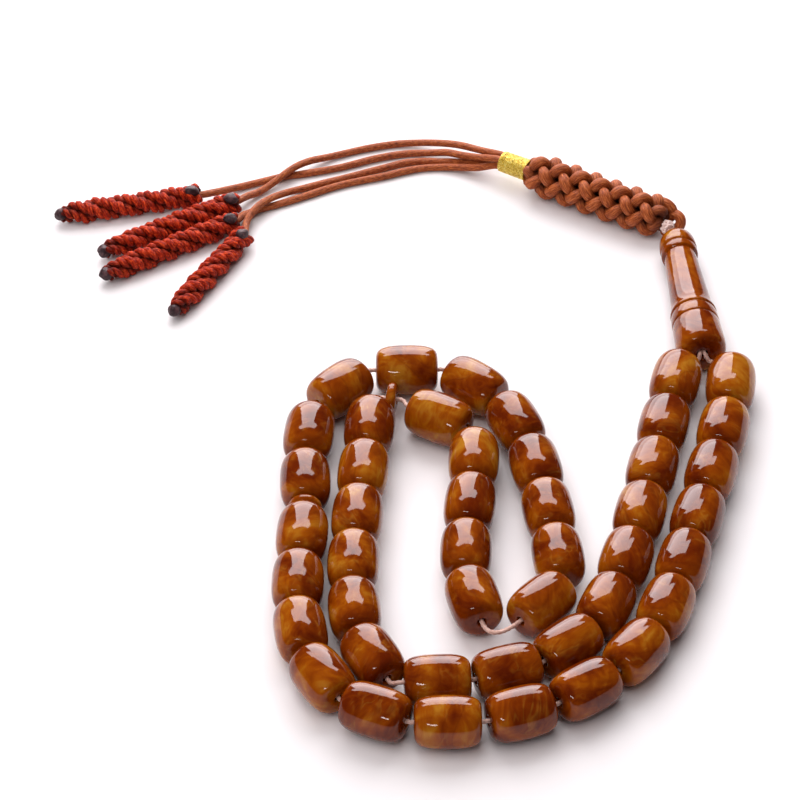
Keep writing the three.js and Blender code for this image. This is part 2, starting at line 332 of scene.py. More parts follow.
# The cords' routes from the whipping to their sleeves, as in the CAD part, in metres.
CORD_SHIFT = (-0.00007, 0.00069, 0.0)
CORD_ROUTES = [
    [
        (-0.0073, 0.0983, 0.0049),
        (-0.0117, 0.1009, 0.0036),
        (-0.0154, 0.1031, 0.0027),
        (-0.0191, 0.1044, 0.0016),
        (-0.0243, 0.1050, 0.00095),
        (-0.0292, 0.1041, 0.00095),
        (-0.0342, 0.1025, 0.00095),
        (-0.0380, 0.1009, 0.00095),
        (-0.0418, 0.0994, 0.00095),
        (-0.0467, 0.0979, 0.00095),
        (-0.0515, 0.0967, 0.00095),
        (-0.0553, 0.0959, 0.00095),
        (-0.0612, 0.0937, 0.00095),
        (-0.0663, 0.0915, 0.0011),
        (-0.0706, 0.0892, 0.0017),
    ],
    [
        (-0.0066, 0.1004, 0.0054),
        (-0.0117, 0.1044, 0.0039),
        (-0.0153, 0.1066, 0.0028),
        (-0.0191, 0.1081, 0.0019),
        (-0.0230, 0.1088, 0.0013),
        (-0.0285, 0.1087, 0.00095),
        (-0.0342, 0.1073, 0.00095),
        (-0.0398, 0.1054, 0.00095),
        (-0.0450, 0.1030, 0.0013),
        (-0.0494, 0.1002, 0.0023),
        (-0.0524, 0.0974, 0.00295),
        (-0.0550, 0.0949, 0.0028),
        (-0.0582, 0.0922, 0.0017),
        (-0.0616, 0.0893, 0.0012),
        (-0.0642, 0.0869, 0.0019),
    ],
    [
        (-0.0078, 0.0969, 0.0029),
        (-0.0124, 0.0986, 0.0016),
        (-0.0170, 0.0994, 0.0010),
        (-0.0214, 0.0991, 0.00095),
        (-0.0260, 0.0978, 0.00095),
        (-0.0310, 0.0959, 0.00095),
        (-0.0364, 0.0942, 0.00095),
        (-0.0408, 0.0927, 0.00095),
        (-0.0450, 0.0908, 0.00095),
        (-0.0494, 0.0885, 0.00095),
        (-0.0539, 0.0862, 0.00095),
        (-0.0580, 0.0843, 0.00095),
        (-0.0616, 0.0828, 0.00095),
        (-0.0636, 0.0814, 0.0011),
        (-0.0652, 0.0792, 0.0020),
    ],
    [
        (-0.0076, 0.0990, 0.0026),
        (-0.0124, 0.1011, 0.0013),
        (-0.0170, 0.1017, 0.00095),
        (-0.0216, 0.1018, 0.00095),
        (-0.0264, 0.1010, 0.00095),
        (-0.0314, 0.0990, 0.00095),
        (-0.0358, 0.0972, 0.00095),
        (-0.0406, 0.0952, 0.00095),
        (-0.0460, 0.0930, 0.00095),
        (-0.0510, 0.0908, 0.0011),
        (-0.0552, 0.0880, 0.0019),
        (-0.0586, 0.0848, 0.0028),
        (-0.0614, 0.0817, 0.0030),
        (-0.0634, 0.0786, 0.0026),
        (-0.0643, 0.0752, 0.0024),
    ],
]
SLEEVE_TIPS = [
    (-0.1098, 0.0788, 0.0026),
    (-0.0985, 0.0646, 0.0026),
    (-0.0976, 0.0560, 0.0026),
    (-0.0805, 0.0424, 0.0026),
]


# ---- Camera ----
def make_camera():
    data = bpy.data.cameras.new("camera")
    data.lens = CAMERA_LENS
    data.sensor_width = SENSOR_WIDTH
    data.clip_start = CLIP_NEAR
    data.clip_end = CLIP_FAR
    camera = bpy.data.objects.new("camera", data)
    bpy.context.scene.collection.objects.link(camera)
    camera.location = CAMERA_PLACE
    camera.rotation_euler = (math.radians(90.0 - CAMERA_ELEVATION), 0.0, 0.0)
    bpy.context.scene.camera = camera


# ---- Vectors and paths ----
def unit(v):
    v = np.asarray(v, float)
    return v / np.linalg.norm(v)


def basis(axis):
    """A sideways and an upright direction across an axis."""
    side = unit(np.cross(axis, UP))
    return side, np.cross(side, axis)


def middle(node):
    """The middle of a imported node's box, in millimetres."""
    low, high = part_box(node)
    return np.array((low + high) / 2) / MM


def joint(name):
    return next(j for j in frame["joints"] if j["name"] == name)


def resample(points, step):
    """Points a step apart along a polyline, with both of its ends kept."""
    points = np.asarray(points, float)
    lengths = np.linalg.norm(np.diff(points, axis=0), axis=1)
    along = np.concatenate([[0.0], np.cumsum(lengths)])
    count = max(2, int(round(along[-1] / step)) + 1)
    at = np.linspace(0.0, along[-1], count)
    return np.stack([np.interp(at, along, points[:, i]) for i in range(3)], axis=1)


def smooth_path(points, step):
    """A centripetal Catmull-Rom curve through the points, resampled evenly."""
    p = np.asarray(points, float)
    p = np.vstack([2 * p[0] - p[1], p, 2 * p[-1] - p[-2]])
    dense = []
    for a, b, c, d in zip(p, p[1:], p[2:], p[3:]):
        knots = np.cumsum([0.0] + [np.sqrt(np.linalg.norm(v - u)) for u, v in ((a, b), (b, c), (c, d))])
        t = np.linspace(knots[1], knots[2], SPLINE_STEPS, endpoint=False)[:, None]
        t0, t1, t2, t3 = knots
        ab = (t1 - t) / (t1 - t0) * a + (t - t0) / (t1 - t0) * b
        bc = (t2 - t) / (t2 - t1) * b + (t - t1) / (t2 - t1) * c
        cd = (t3 - t) / (t3 - t2) * c + (t - t2) / (t3 - t2) * d
        abc = (t2 - t) / (t2 - t0) * ab + (t - t0) / (t2 - t0) * bc
        bcd = (t3 - t) / (t3 - t1) * bc + (t - t1) / (t3 - t1) * cd
        dense.append((t2 - t) / (t2 - t1) * abc + (t - t1) / (t2 - t1) * bcd)
    dense.append(p[-2][None, :])
    return resample(np.vstack(dense), step)


def carried_frames(path):
    """Tangents, and normals carried along the path without twist."""
    tangents = np.gradient(path, axis=0)
    tangents /= np.linalg.norm(tangents, axis=1)[:, None]
    start = np.cross(tangents[0], UP if abs(tangents[0][2]) < 0.9 else (1.0, 0.0, 0.0))
    normals = np.zeros_like(path)
    normals[0] = unit(start)
    for i in range(1, len(path)):
        n = normals[i - 1] - tangents[i] * (normals[i - 1] @ tangents[i])
        normals[i] = n / np.linalg.norm(n)
    return tangents, normals, np.cross(tangents, normals)


# ---- Building meshes ----
class Shape:
    """A mesh in millimetres. place is each point in the piece's own straightened frame."""

    def __init__(self):
        self.points = []
        self.faces = []
        self.place = []
        self.tint = []
        self.count = 0

    def add(self, points, faces, place, tint=0.5):
        self.points.append(np.asarray(points, float))
        self.faces.extend([tuple(i + self.count for i in face) for face in faces])
        self.place.append(np.asarray(place, float))
        self.tint.append(np.broadcast_to(np.asarray(tint, float), (len(points),)))
        self.count += len(points)

    def paint_depth_shade(self, start, axis, low, high, length=math.inf):
        """Paints shade into a plaited piece through its tint: 0 inside, where the painted shade is darkest, 1
        at its outside, lighter at its far end.
        """
        for i, points in enumerate(self.points):
            away = points - start
            forward = away @ axis
            away = away - np.outer(forward, axis)
            depth = np.clip((np.linalg.norm(away, axis=1) - low) / (high - low), 0.0, 1.0)
            near_end = np.clip((forward - length + FAR_END_BAND) / 2.0, 0.0, FAR_END_TINT)
            self.tint[i] = np.maximum(depth, near_end)

    def rest(self):
        """Flattens whatever would reach below the table."""
        for points in self.points:
            points[:, 2] = np.maximum(points[:, 2], TABLE_CLEARANCE)


def ring_faces(rings, sides):
    """The faces between rings of points, each joined to the next."""
    faces = []
    for i in range(rings - 1):
        for j in range(sides):
            k = (j + 1) % sides
            a, b = i * sides, (i + 1) * sides
            faces.append((a + j, a + k, b + k, b + j))
    return faces


def add_tube(shape, path, radius, sides, ripple=None, tint=0.5, closed=False):
    """A round tube with domed ends. ripple(angle, along) scales its radius."""
    tangents, normals, across = carried_frames(path)
    step = np.linalg.norm(np.diff(path, axis=0), axis=1)
    along = np.concatenate([[0.0], np.cumsum(step)])
    radius = np.broadcast_to(np.asarray(radius, float), (len(path),)).copy()
    angle = np.linspace(0.0, 2 * math.pi, sides, endpoint=False)
    if closed:
        turn = math.atan2(normals[0] @ across[-1], normals[0] @ normals[-1])
        fix = np.linspace(0.0, turn, len(path))[:, None]
    else:
        fix = np.zeros((len(path), 1))
    a = angle[None, :] + fix
    scale = radius[:, None] * np.ones_like(a)
    if ripple is not None:
        scale = scale * ripple(angle[None, :], along[:, None])
    rings = path[:, None, :] + scale[..., None] * (
        np.cos(a)[..., None] * normals[:, None, :] + np.sin(a)[..., None] * across[:, None, :]
    )
    place = np.stack([scale * np.cos(a), scale * np.sin(a), along[:, None] + 0 * a], axis=2)
    count = len(path)
    if closed:
        faces = ring_faces(count, sides)
        last = (count - 1) * sides
        faces += [(last + j, last + (j + 1) % sides, (j + 1) % sides, j) for j in range(sides)]
        shape.add(rings.reshape(-1, 3), faces, place.reshape(-1, 3), tint)
        return
    dome = [(1 - c * DOME_NARROWING, DOME_HEIGHT * math.sqrt(1 - (1 - c) ** 2)) for c in DOME_RINGS]
    before = [path[0] + (rings[0] - path[0]) * s - tangents[0] * radius[0] * h for s, h in reversed(dome)]
    after = [path[-1] + (rings[-1] - path[-1]) * s + tangents[-1] * radius[-1] * h for s, h in dome]
    everything = np.concatenate([np.array(before), rings, np.array(after)])
    spread = np.concatenate([place[:1].repeat(2, axis=0), place, place[-1:].repeat(2, axis=0)])
    total = len(everything)
    poles = np.array([
        path[0] - tangents[0] * radius[0] * POLE_HEIGHT,
        path[-1] + tangents[-1] * radius[-1] * POLE_HEIGHT,
    ])
    faces = ring_faces(total, sides)
    low, high = total * sides, total * sides + 1
    last = (total - 1) * sides
    faces += [((j + 1) % sides, j, low) for j in range(sides)]
    faces += [(last + j, last + (j + 1) % sides, high) for j in range(sides)]
    pole_place = np.array([[0.0, 0.0, 0.0], [0.0, 0.0, along[-1]]])
    shape.add(
        np.vstack([everything.reshape(-1, 3), poles]),
        faces,
        np.vstack([spread.reshape(-1, 3), pole_place]),
        tint,
    )


def random_lay():
    """A random way for the material to lie in a piece."""
    lay, r = np.linalg.qr(RNG.normal(size=(3, 3)))
    return lay * np.sign(np.diag(r))


def add_turned(shape, outline, sides, origin, axis, shift=(0.0, 0.0, 0.0), lay=np.eye(3), tint=0.5):
    """A closed turned piece, such as a bored bead: the outline's ends are joined down the bore."""
    side, upright = basis(axis)
    outline = np.asarray(outline, float)
    angle = np.linspace(0.0, 2 * math.pi, sides, endpoint=False)
    c, s = np.cos(angle), np.sin(angle)
    around = c[:, None] * side + s[:, None] * upright
    rings = origin + outline[:, 0, None, None] * np.asarray(axis) + outline[:, 1, None, None] * around[None]
    u = c[None, :] * outline[:, 1, None]
    v = s[None, :] * outline[:, 1, None]
    w = outline[:, 0, None] + 0 * u
    place = np.stack([u, v, w], axis=2) @ lay + np.asarray(shift)
    rows = len(outline)
    faces = ring_faces(rows, sides)
    last = (rows - 1) * sides
    faces += [(last + j, last + (j + 1) % sides, (j + 1) % sides, j) for j in range(sides)]
    faces = [tuple(reversed(f)) for f in faces]
    shape.add(rings.reshape(-1, 3), faces, place.reshape(-1, 3), tint)


def make_piece(name, shape, material):
    """A Blender object from a shape, in metres, with the attributes that the materials read."""
    mesh = bpy.data.meshes.new(name)
    mesh.from_pydata((np.vstack(shape.points) * MM).tolist(), [], shape.faces)
    mesh.polygons.foreach_set("use_smooth", [True] * len(mesh.polygons))
    place = mesh.attributes.new("place", "FLOAT_VECTOR", "POINT")
    place.data.foreach_set("vector", np.vstack(shape.place).astype(np.float32).ravel())
    tint = mesh.attributes.new("tint", "FLOAT", "POINT")
    tint.data.foreach_set("value", np.concatenate(shape.tint).astype(np.float32))
    mesh.materials.append(material)
    mesh.update()
    piece = bpy.data.objects.new(name, mesh)
    bpy.context.scene.collection.objects.link(piece)
    return piece


# ---- Materials ----
class Look:
    """A procedural material, built node by node."""

    def __init__(self, name):
        self.material = bpy.data.materials.new(name)
        self.material.use_nodes = True
        self.tree = self.material.node_tree
        self.tree.nodes.clear()
        self.place = self.add("Attribute", attribute_name="place").outputs["Vector"]
        self.tint = self.add("Attribute", attribute_name="tint").outputs["Fac"]

    def add(self, kind, inputs=None, **settings):
        node = self.tree.nodes.new("ShaderNode" + kind)
        for key, value in settings.items():
            setattr(node, key, value)
        for key, value in (inputs or {}).items():
            self.feed(node.inputs[key], value)
        return node

    def feed(self, socket, value):
        if isinstance(value, bpy.types.NodeSocket):
            self.tree.links.new(value, socket)
        else:
            socket.default_value = value

    def stretched(self, x, y, z):
        return self.add("VectorMath", {0: self.place, 1: (x, y, z)}, operation="MULTIPLY").outputs[0]

    def noise(self, vector, scale, detail=2.0, roughness=0.5, distortion=0.0):
        node = self.add(
            "TexNoise",
            {
                "Vector": vector,
                "Scale": scale,
                "Detail": detail,
                "Roughness": roughness,
                "Distortion": distortion,
            },
        )
        return node.outputs["Fac"]

    def math(self, operation, a, b=0.0, clamp=False):
        return self.add("Math", {0: a, 1: b}, operation=operation, use_clamp=clamp).outputs[0]

    def ramp(self, value, stops):
        node = self.add("ValToRGB", {"Fac": value})
        ramp = node.color_ramp
        while len(ramp.elements) < len(stops):
            ramp.elements.new(0.5)
        for element, (at, color) in zip(ramp.elements, stops):
            element.position = at
            element.color = (*color, 1.0)
        return node.outputs["Color"]

    def mix(self, factor, a, b):
        node = self.add("Mix", data_type="RGBA")
        for index, value in ((0, factor), (6, a), (7, b)):
            if isinstance(value, tuple) and len(value) == 3:
                value = (*value, 1.0)
            self.feed(node.inputs[index], value)
        return node.outputs[2]

    def bump(self, height, strength, distance):
        node = self.add("Bump", {"Height": height, "Strength": strength, "Distance": distance})
        return node.outputs["Normal"]

    def finish(self, **inputs):
        shader = self.add("BsdfPrincipled")
        for key, value in inputs.items():
            name = key.replace("_", " ")
            if isinstance(value, tuple) and len(value) == 3 and name != "Subsurface Radius":
                value = (*value, 1.0)
            self.feed(shader.inputs[name], value)
        output = self.add("OutputMaterial")
        self.tree.links.new(shader.outputs[0], output.inputs["Surface"])
        return self.material


def resin():
    """Polished cast resin: orange-brown, marbled with golden and dark swirls that differ in each piece."""
    look = Look("amber_resin")
    broad = look.noise(look.place, 0.13, 2.0, 0.5, 1.5)
    wisps = look.noise(look.stretched(1.0, 1.0, 0.3), 0.30, 3.0, 0.5, 2.2)
    bands = look.add(
        "TexWave",
        {
            "Vector": look.stretched(1.0, 1.0, 0.7),
            "Scale": 0.030,
            "Distortion": 7.0,
            "Detail": 2.0,
            "Detail Scale": 1.6,
            "Detail Roughness": 0.5,
        },
    ).outputs["Fac"]
    # Three patterns are blended, and each piece's tint makes it lighter or darker.
    blend = look.math("MULTIPLY", broad, 0.42)
    blend = look.math("ADD", blend, look.math("MULTIPLY", wisps, 0.36))
    blend = look.math("ADD", blend, look.math("MULTIPLY", bands, 0.22))
    blend = look.math("ADD", blend, look.math("MULTIPLY", look.math("SUBTRACT", look.tint, 0.5), 0.16))
    color = look.ramp(blend, RESIN_RAMP)
    # Fine golden veins, only inside the lighter patches.
    flow = look.noise(look.stretched(1.0, 1.0, 0.10), 0.42, 1.5, 0.5, 0.7)
    vein = look.math("ABSOLUTE", look.math("SUBTRACT", flow, 0.5))
    vein = look.math("SUBTRACT", 1.0, look.math("MULTIPLY", vein, 13.0), True)
    patch = look.math("MULTIPLY", look.math("SUBTRACT", broad, 0.50), 5.0, True)
    golden = look.math("MULTIPLY", look.math("MULTIPLY", vein, patch), 0.24)
    color = look.mix(golden, color, RESIN_VEIN)
    # Thin dark lines at one level of the bands.
    crack = look.math("ABSOLUTE", look.math("SUBTRACT", bands, 0.35))
    crack = look.math("SUBTRACT", 1.0, look.math("MULTIPLY", crack, 9.0), True)
    color = look.mix(look.math("MULTIPLY", crack, 0.28), color, RESIN_CRACK)
    scuffs = look.noise(look.place, 2.4, 3.0, 0.6)
    roughness = look.math("ADD", 0.035, look.math("MULTIPLY", scuffs, 0.05))
    soft = look.bump(look.noise(look.place, 0.5, 1.0), 0.05, 0.0004)
    return look.finish(Base_Color=color, Roughness=roughness, IOR=1.38, Normal=soft)


def thread(name, light, dark):
    """Spun thread, with fine fibres along it."""
    look = Look(name)
    fibres = look.noise(look.stretched(1.0, 1.0, 0.18), 6.0, 3.0, 0.6)
    color = look.mix(look.ramp(fibres, [(0.3, (0.0, 0.0, 0.0)), (0.7, (1.0, 1.0, 1.0))]), dark, light)
    normal = look.bump(fibres, 0.5, 0.0001)
    return look.finish(Base_Color=color, Roughness=0.6, Normal=normal, Sheen_Weight=0.3, Sheen_Roughness=0.4)


def satin_cord():
    """Rust-brown satin cord: tight fibres along it that catch the light, with shade painted in where it lies
    inside a plait.
    """
    look = Look("brown_cord")
    fibres = look.noise(look.stretched(1.0, 1.0, 0.24), 3.6, 4.0, 0.7)
    patches = look.noise(look.stretched(1.0, 1.0, 0.5), 0.35, 2.0)
    color = look.ramp(fibres, BROWN_RAMP)
    color = look.mix(look.math("MULTIPLY", patches, 0.35), color, BROWN_PATCH)
    # Painted shade: the cord darkens where its tint says it lies inside the plait.
    painted_shade = look.math("MULTIPLY", look.math("SUBTRACT", 1.0, look.tint), 0.8)
    color = look.mix(painted_shade, color, BROWN_PAINTED_SHADE)
    grain = look.noise(look.stretched(1.0, 1.0, 0.6), 9.0, 2.0, 0.6)
    height = look.math("ADD", fibres, look.math("MULTIPLY", grain, 0.5))
    normal = look.bump(height, 0.8, 0.0003)
    return look.finish(
        Base_Color=color,
        Roughness=look.math("ADD", 0.42, look.math("MULTIPLY", grain, 0.2)),
        Specular_IOR_Level=0.25,
        Normal=normal,
    )


def rust_cord():
    """Matt rust-red cord with fuzzy, speckled fibres, and shade painted in towards a sleeve's core."""
    look = Look("rust_cord")
    fibres = look.noise(look.stretched(1.0, 1.0, 0.45), 2.6, 4.0, 0.7, 0.6)
    color = look.ramp(fibres, RUST_RAMP)
    # Painted shade: the cord darkens where its tint says it lies near the sleeve's core.
    painted_shade = look.math("MULTIPLY", look.math("SUBTRACT", 1.0, look.tint), 0.9)
    color = look.mix(painted_shade, color, RUST_PAINTED_SHADE)
    grain = look.noise(look.stretched(1.0, 1.0, 1.0), 7.0, 3.0, 0.7)
    height = look.math("ADD", fibres, look.math("MULTIPLY", grain, 0.6))
    normal = look.bump(height, 0.8, 0.0003)
    return look.finish(
        Base_Color=color,
        Roughness=0.6,
        Specular_IOR_Level=0.15,
        Normal=normal,
    )


def melted_cord():
    """Cord ends sealed with heat: dark, purplish and half dull."""
    look = Look("melted_end")
    cloud = look.noise(look.stretched(1.0, 1.0, 1.0), 0.9, 3.0, 0.6, 0.5)
    color = look.ramp(cloud, MELTED_RAMP)
    normal = look.bump(cloud, 0.5, 0.0004)
    return look.finish(Base_Color=color, Roughness=0.5, Specular_IOR_Level=0.3, Normal=normal)


def gold_thread():
    """Metallised thread: bright gold with fine glinting facets."""
    look = Look("gold_thread")
    facets = look.noise(look.stretched(1.0, 1.0, 0.7), 3.6, 2.0, 0.6)
    color = look.ramp(facets, GOLD_RAMP)
    normal = look.bump(facets, 0.9, 0.0004)
    return look.finish(Base_Color=color, Roughness=0.33, Metallic=0.4, Normal=normal)


def floor_look():
    """A plain pale table, very slightly uneven in tone."""
    look = Look("floor")
    position = look.add("TexCoord").outputs["Object"]
    tone = look.noise(position, 3.0, 1.0)
    color = look.ramp(tone, FLOOR_RAMP)
    return look.finish(Base_Color=color, Roughness=0.85)


# ---- Cords, string and threads ----
def bundle_offset(i, direction):
    """How far cord i lies from the whipping's axis: two cords above it and two below."""
    side = np.array([direction[1], -direction[0], 0.0])
    across = BUNDLE_HALF * (-1 if i % 2 == 0 else 1)
    rise = BUNDLE_HALF * (1 if i < 2 else -1)
    return side * across + UP * rise


def winding(start, axis, z, turn, reach):
    """A path along an axis that keeps a distance, reach, from it and is turned round it by turn."""
    side, upright = basis(axis)
    away = (np.cos(turn) * reach)[:, None] * side + (np.sin(turn) * reach)[:, None] * upright
    return start + axis * z[:, None] + away


def make_cords(material):
    """The four tassel cords, from inside the whipping to inside their sleeves."""
    tassel = joint("bend_tassel")
    pivot = np.array(tassel["pos_m"]) / MM
    tail_direction = unit(pivot - middle("braid"))
    cords = []
    for i, route in enumerate(CORD_ROUTES):
        start = pivot + bundle_offset(i, tail_direction)
        base = np.array(joint(f"bend_sleeve_{i + 1}")["pos_m"]) / MM
        tip = (np.array(SLEEVE_TIPS[i]) + CORD_SHIFT) / MM
        inside_whipping = start - tail_direction * CORD_INTO_WHIPPING
        inside_sleeve = base + unit(tip - base) * CORD_INTO_SLEEVE
        points = [(np.array(p) + CORD_SHIFT) / MM for p in route]
        path = smooth_path([inside_whipping, start, *points, base, inside_sleeve], CORD_STEP)
        shape = Shape()
        phase = RNG.uniform(0, 2 * math.pi)

        def ripple(angle, along, phase=phase):
            lobes = 1.0 + 0.018 * np.cos(7 * angle + along * 0.55 + phase)
            return lobes * (1.0 + 0.02 * np.sin(along * 0.31 + phase))

        add_tube(shape, path, CORD_RADIUS * CORD_FIT, CORD_SIDES, ripple, tint=OUTSIDE_TINT)
        piece = make_piece(f"cord_{i + 1}", shape, material)
        length = float(np.linalg.norm(np.diff(path, axis=0), axis=1).sum()) * MM
        cords.append((piece, path, start, length))
    return cords, pivot, tail_direction


def string_through(rows):
    """The string's way through the beads, bending smoothly between them."""
    points = [rows[0].start]
    for before, after in zip(rows, rows[1:]):
        points.append(before.end)
        gap = np.linalg.norm(after.start - before.end)
        handle = gap * (NARROW_HANDLE if gap < WIDE_GAP else WIDE_HANDLE)
        a = before.end + before.axis * handle
        b = after.start - after.axis * handle
        for t in np.linspace(0, 1, 14)[1:-1]:
            leaving = (1 - t) ** 3 * before.end + 3 * t * (1 - t) ** 2 * a
            arriving = 3 * t * t * (1 - t) * b + t ** 3 * after.start
            points.append(leaving + arriving)
        points.append(after.start)
    points.append(rows[-1].end)
    return points


# A bead or divider: its axis runs along the string, from its start to its end.
Threaded = namedtuple("Threaded", "name centre axis start end")


def threaded():
    """Every bead and divider in the order of the string."""
    names = []
    for i in range(1, BEAD_COUNT + 1):
        names.append(f"bead_{i:02d}")
        if i % SECTION_COUNT == 0 and i < BEAD_COUNT:
            names.append(f"divider_{i // SECTION_COUNT}")
    centres = [middle(n) for n in names]
    rows = []
    for i, name in enumerate(names):
        moving = next(j for j in frame["joints"] if j["child"] == name)
        axis = unit(moving["axis"])
        onward = centres[min(i + 1, len(names) - 1)] - centres[max(i - 1, 0)]
        if axis @ onward < 0:
            axis = -axis
        half = (BEAD_LENGTH if name.startswith("bead") else DIVIDER_LENGTH) / 2
        rows.append(Threaded(name, centres[i], axis, centres[i] - axis * half, centres[i] + axis * half))
    return rows


def mirrored(half):
    """A whole outline from the half that runs from its middle."""
    return [(-x, r) for x, r in reversed(half[1:])] + list(half)


def make_threaded(rows, material):
    """The beads and dividers, each with the resin's pattern lying its own way."""
    for row in rows:
        bead = row.name.startswith("bead")
        shape = Shape()
        shift = RNG.uniform(-MATERIAL_SPREAD, MATERIAL_SPREAD, 3)
        lay = random_lay()
        tint = RNG.uniform(0.0, 1.0)
        outline = mirrored(BEAD_HALF_OUTLINE if bead else DIVIDER_HALF_OUTLINE)
        sides = BEAD_SIDES if bead else DIVIDER_SIDES
        add_turned(shape, outline, sides, row.centre, row.axis, shift, lay, tint)
        piece = make_piece(f"turned_{row.name}", shape, material)
        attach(piece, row.name)
        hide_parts(row.name)


def make_string(rows, imam_base, imam_tip, knot, material):
    """The twisted string, from the knot down the imam, round the loop and back up to the knot."""
    up = unit(imam_tip - imam_base)
    side = unit((up[1], -up[0], 0.0))

    def strand(sign):
        offset = side * sign * STRAND_OFFSET
        turn = imam_base - up * TURN_BELOW_IMAM + side * sign * TURN_ASIDE - UP * TURN_DROP
        return [knot + offset * 0.6, imam_tip + offset, imam_base + offset, turn]

    first, last = rows[0], rows[-1]
    leading = first.start - first.axis * BEAD_LEAD
    trailing = last.end + last.axis * BEAD_LEAD
    before = smooth_path([*strand(-1), leading, first.start], STRING_END_STEP)
    after = smooth_path([last.end, trailing, *reversed(strand(1))], STRING_END_STEP)
    path = resample(np.vstack([before, string_through(rows)[1:-1], after]), STRING_STEP)

    def ripple(angle, along):
        return 0.86 + 0.14 * np.cos(STRING_PLIES * (angle - 2 * math.pi * along / STRING_TWIST))

    shape = Shape()
    add_tube(shape, path, STRING_RADIUS, STRING_SIDES, ripple)
    piece = make_piece("twisted_string", shape, material)
    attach(piece, "strand")
    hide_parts("string")


def make_knot(centre, axis, material):
    """A small ball of thread: a closed path that crosses over and under itself."""
    side, upright = basis(axis)
    t = np.linspace(0, 2 * math.pi, KNOT_SAMPLES, endpoint=False)
    polar = math.pi / 2 + KNOT_SWING * np.cos(KNOT_CROSSINGS * t)
    reach = KNOT_RADIUS - KNOT_THREAD + 0.14 * np.cos(KNOT_CROSSINGS * KNOT_WRAPS * t + 0.6)
    around = KNOT_WRAPS * t
    local = np.stack([np.sin(polar) * np.cos(around), np.sin(polar) * np.sin(around), np.cos(polar)], axis=1)
    local *= reach[:, None]
    path = centre + local[:, :1] * side + local[:, 1:2] * upright + local[:, 2:] * axis

    def ripple(angle, along):
        return 0.88 + 0.12 * np.cos(2 * angle - along * 3.2)

    shape = Shape()
    add_tube(shape, path, KNOT_THREAD, KNOT_SIDES, ripple, closed=True)
    core = []
    for share in np.linspace(-1, 1, 13):
        core.append((share * KNOT_CORE_HALF, max(KNOT_CORE * math.sqrt(1 - share ** 2), 0.02)))
    add_turned(shape, core, KNOT_CORE_SIDES, centre, axis)
    piece = make_piece("thread_knot", shape, material)
    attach(piece, "strand")
    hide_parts("string_knot")


def make_braid(start, direction, knot, material):
    """Eight cords plaited round, four each way. Two bights hold the knot, and four ends fill the whipping."""
    shape = Shape()
    half = BRAID_STRANDS // 2
    for k in range(BRAID_STRANDS):
        way = 1 if k < half else -1
        # Strands rise and fall where they cross, and draw in towards both ends.
        z = np.linspace(-0.4, BRAID_LENGTH - 0.2, BRAID_SAMPLES)
        turn = 2 * math.pi * (k % half) / half + way * 2 * math.pi * z / BRAID_LEAD
        weave = way * np.cos(half * turn)
        ends = np.clip(np.minimum((z + 0.9) / 3.6, (BRAID_LENGTH - z + 0.9) / 4.2), 0.0, 1.0)
        swell = np.sin(ends * math.pi / 2)
        radius = BRAID_END_RADIUS + (BRAID_RADIUS - BRAID_END_RADIUS) * swell
        radius = radius + BRAID_WEAVE * weave * (0.25 + 0.75 * swell)
        wobble = 0.10 * np.sin(z * 1.7 + k * 1.9)
        radius = np.maximum(radius + wobble, 0.35)
        path = winding(start, direction, z, turn, radius)
        thick = BRAID_STRAND * (1.0 + 0.15 * weave) * (0.8 + 0.2 * swell)
        path = resample(path, BRAID_STEP)
        thick = np.interp(np.linspace(0, 1, len(path)), np.linspace(0, 1, len(thick)), thick)

        def ripple(angle, along, k=k):
            return 1.0 + 0.015 * np.cos(6 * angle + along * 0.4 + k)

        add_tube(shape, path, thick, BRAID_SIDES, ripple)
    for i in range(len(CORD_ROUTES)):
        offset = bundle_offset(i, direction)
        stem = [
            start + direction * (BRAID_LENGTH - STEM_INTO_BRAID) + offset * 0.7,
            start + direction * BRAID_LENGTH + offset,
            start + direction * (BRAID_LENGTH + STEM_LENGTH - STEM_STOPS) + offset,
        ]
        add_tube(shape, smooth_path(stem, STEM_STEP), CORD_RADIUS, STEM_SIDES)
    # Painted shade: the plait's cords darken towards its axis and lighten over its far end; the bights get
    # the open cord's slight shade.
    shape.paint_depth_shade(start, direction, BRAID_DEEP, BRAID_OUTER, BRAID_LENGTH)
    for bight in (OUTER_BIGHT, INNER_BIGHT):
        path = smooth_path(knot + np.array(bight), BRAID_STEP)
        add_tube(shape, path, BIGHT_STRAND, BRAID_SIDES, tint=OUTSIDE_TINT)
    shape.rest()
    piece = make_piece("plaited_braid", shape, material)
    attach(piece, "tail")
    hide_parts("braid")


def make_whipping(start, direction, material):
    """Gold thread wound closely round the end of the braid."""
    turn = np.linspace(0, 2 * math.pi * WHIPPING_TURNS, WHIPPING_TURNS * WHIPPING_SAMPLES)
    share = turn / turn[-1]
    thread_radius = WHIPPING_LENGTH / WHIPPING_TURNS * 0.53
    reach = WHIPPING_REACH - 0.08 * share + 0.03 * np.sin(turn * 0.37)
    z = thread_radius + share * (WHIPPING_LENGTH - 2 * thread_radius) + 0.04 * np.sin(turn * 0.21 + 1.0)
    path = winding(start, direction, z, turn, reach)

    def ripple(angle, along):
        return 0.94 + 0.12 * np.cos(2 * angle + along * 6.0)

    shape = Shape()
    add_tube(shape, path, thread_radius, WHIPPING_SIDES, ripple)
    piece = make_piece("gold_windings", shape, material)
    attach(piece, "tail")
    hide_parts("gold_whipping")


